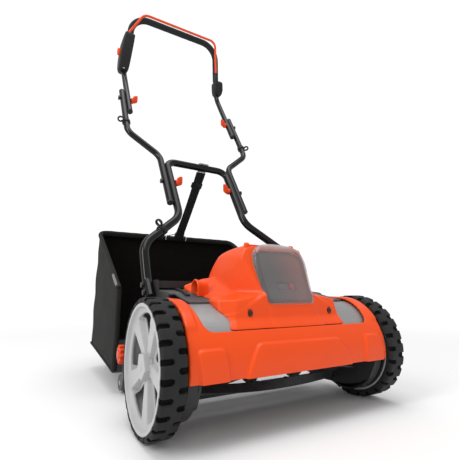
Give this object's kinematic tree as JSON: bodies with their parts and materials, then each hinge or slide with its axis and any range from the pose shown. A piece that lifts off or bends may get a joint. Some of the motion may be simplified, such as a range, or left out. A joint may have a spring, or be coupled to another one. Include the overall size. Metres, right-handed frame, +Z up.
{
  "type": "cordless reel mower",
  "caption": "Walk-behind cordless reel mower: helical cutting reel under an orange shroud, battery hood, large side wheels, folding tube handle with bail, and rear grass catcher.",
  "frame": {"origin": "on the ground under the centre of the whole machine's bounding box", "axes": "+Z up, +Y towards the person pushing it (the cutting front faces -Y), +X to the right as seen from the front"},
  "size_m": [0.4986, 0.7008, 1.1895],
  "materials": {
    "orange_shell": "moulded orange plastic, semi-gloss",
    "orange_steel": "orange powder-coated steel rod",
    "orange_lever": "moulded orange plastic",
    "black_plastic": "moulded black plastic, fine grain",
    "dark_plastic": "dark grey moulded plastic",
    "silver_plastic": "silver-painted plastic, satin",
    "silver_guard": "silver-painted sheet steel",
    "tyre": "moulded rubber tread",
    "black_tube": "black powder-coated steel tube",
    "black_steel": "black powder-coated sheet steel",
    "steel": "zinc-plated steel",
    "blade_steel": "black-coated blade steel",
    "smoked_lid": "smoked clear plastic",
    "battery_grey": "grey battery case",
    "foam": "closed-cell foam sleeve",
    "belt_rubber": "ribbed rubber belt",
    "bag_fabric": "woven polyester, coated inside",
    "webbing": "woven webbing"
  },
  "bodies": {
    "chassis": {"side_plates": "black_steel", "end_housings": "black_plastic", "axle_stubs": "steel", "front_shroud": "orange_shell", "cutter_guard": "silver_guard", "rear_deck": "dark_plastic", "grass_chute": "dark_plastic", "tie_bars": "black_steel", "shaft_bearings": "steel", "bedknife_blade": "steel", "bedknife_bar": "black_steel", "screws": "black_steel", "motor_body": "steel", "drive_belt": "belt_rubber", "motor_cover": "orange_shell", "lid_hinge_pin": "steel", "battery_bay": "dark_plastic", "controller_box": "black_plastic", "lower_hoop": "black_tube", "frame_bolts": "black_steel", "hoop_cable_clip": "black_plastic", "arm_pivots": "steel"},
    "wheel_left": {"tyre_left": "tyre", "rim_left": "silver_plastic", "wheel_cover_left": "black_plastic"},
    "wheel_right": {"tyre_right": "tyre", "rim_right": "silver_plastic", "wheel_cover_right": "black_plastic"},
    "reel": {"reel_shaft": "steel", "reel_spiders": "blade_steel", "reel_blades": "blade_steel", "reel_pulley": "black_plastic"},
    "motor_rotor": {"motor_shaft": "steel"},
    "lid": {"battery_lid": "smoked_lid"},
    "battery": {"battery_pack": "battery_grey"},
    "mid_handle": {"mid_tubes": "black_tube", "mid_tube_plugs": "black_plastic", "mid_cable_clips": "black_plastic", "upper_clamp_bolts": "black_steel"},
    "top_handle": {"upper_handle": "black_tube", "upper_tube_plugs": "black_plastic", "grip_foam": "foam", "switch_box": "black_plastic", "bail_holder": "black_plastic"},
    "bail": {"bail_bar": "orange_steel"},
    "safety_button": {"lock_button": "orange_lever"},
    "lever_lower_left": {"lower_lever_left": "orange_lever"},
    "lever_lower_right": {"lower_lever_right": "orange_lever"},
    "lever_upper_left": {"upper_lever_left": "orange_lever"},
    "lever_upper_right": {"upper_lever_right": "orange_lever"},
    "roller_carriage": {"roller_arms": "dark_plastic", "roller_axle": "steel"},
    "roller": {"rear_roller": "black_plastic"},
    "knob": {"height_knob": "orange_lever", "knob_stud": "steel"},
    "catcher": {"catcher_floor": "dark_plastic", "catcher_fabric": "bag_fabric", "catcher_frame": "steel", "catcher_strap": "webbing", "strap_hook": "steel"}
  },
  "joints": [
    {"name": "wheel_left_spin", "type": "hinge", "parent": "chassis", "child": "wheel_left", "pos_m": [-0.23, -0.24637, 0.104], "axis": [1, 0, 0], "continuous": true},
    {"name": "wheel_right_spin", "type": "hinge", "parent": "chassis", "child": "wheel_right", "pos_m": [0.23, -0.24637, 0.104], "axis": [1, 0, 0], "continuous": true},
    {"name": "reel_spin", "type": "hinge", "parent": "chassis", "child": "reel", "pos_m": [0, -0.24136, 0.095], "axis": [1, 0, 0], "continuous": true},
    {"name": "motor_spin", "type": "hinge", "parent": "chassis", "child": "motor_rotor", "pos_m": [0.194, -0.16836, 0.184], "axis": [1, 0, 0], "continuous": true},
    {"name": "lid_hinge", "type": "hinge", "parent": "chassis", "child": "lid", "pos_m": [0, -0.25937, 0.303], "axis": [-1, 0, 0], "range_deg": [0, 75]},
    {"name": "battery_eject", "type": "slide", "parent": "chassis", "child": "battery", "axis": [0, -0.9145, 0.4046], "range_m": [0, 0.008]},
    {"name": "lower_fold", "type": "hinge", "parent": "chassis", "child": "mid_handle", "pos_m": [0, 0.05914, 0.506], "axis": [1, 0, 0], "range_deg": [0, 120]},
    {"name": "upper_fold", "type": "hinge", "parent": "mid_handle", "child": "top_handle", "pos_m": [0, 0.23864, 0.813], "axis": [-1, 0, 0], "range_deg": [0, 150]},
    {"name": "bail_squeeze", "type": "hinge", "parent": "top_handle", "child": "bail", "pos_m": [0, 0.30963, 1.01], "axis": [-1, 0, 0], "range_deg": [0, 2.2], "stiffness_Nm_per_rad": 1.5, "springref_deg": -3.44},
    {"name": "button_press", "type": "slide", "parent": "top_handle", "child": "safety_button", "axis": [1, 0, 0], "range_m": [0, 0.0035], "stiffness_N_per_m": 250, "springref_m": -0.002},
    {"name": "lever_lower_left_turn", "type": "hinge", "parent": "chassis", "child": "lever_lower_left", "pos_m": [-0.074, 0.05914, 0.506], "axis": [1, 0, 0], "range_deg": [0, 90]},
    {"name": "lever_lower_right_turn", "type": "hinge", "parent": "chassis", "child": "lever_lower_right", "pos_m": [0.074, 0.05914, 0.506], "axis": [1, 0, 0], "range_deg": [0, 90]},
    {"name": "lever_upper_left_turn", "type": "hinge", "parent": "mid_handle", "child": "lever_upper_left", "pos_m": [-0.162, 0.23864, 0.813], "axis": [1, 0, 0], "range_deg": [0, 90]},
    {"name": "lever_upper_right_turn", "type": "hinge", "parent": "mid_handle", "child": "lever_upper_right", "pos_m": [0.162, 0.23864, 0.813], "axis": [1, 0, 0], "range_deg": [0, 90]},
    {"name": "cut_height", "type": "hinge", "parent": "chassis", "child": "roller_carriage", "pos_m": [0.213, -0.09637, 0.095], "axis": [1, 0, 0], "range_deg": [-6, 0]},
    {"name": "roller_spin", "type": "hinge", "parent": "roller_carriage", "child": "roller", "pos_m": [0, 0.01563, 0.021], "axis": [1, 0, 0], "continuous": true},
    {"name": "knob_turn", "type": "hinge", "parent": "roller_carriage", "child": "knob", "pos_m": [-0.222, -0.02437, 0.087], "axis": [1, 0, 0], "range_deg": [0, 180]},
    {"name": "catcher_lift", "type": "slide", "parent": "chassis", "child": "catcher", "axis": [0, 0.6, 0.8], "range_m": [0, 0.3]}
  ],
  "couplings": [
    {"joint": "motor_spin", "follows": "reel_spin", "ratio": 2.3333}
  ]
}
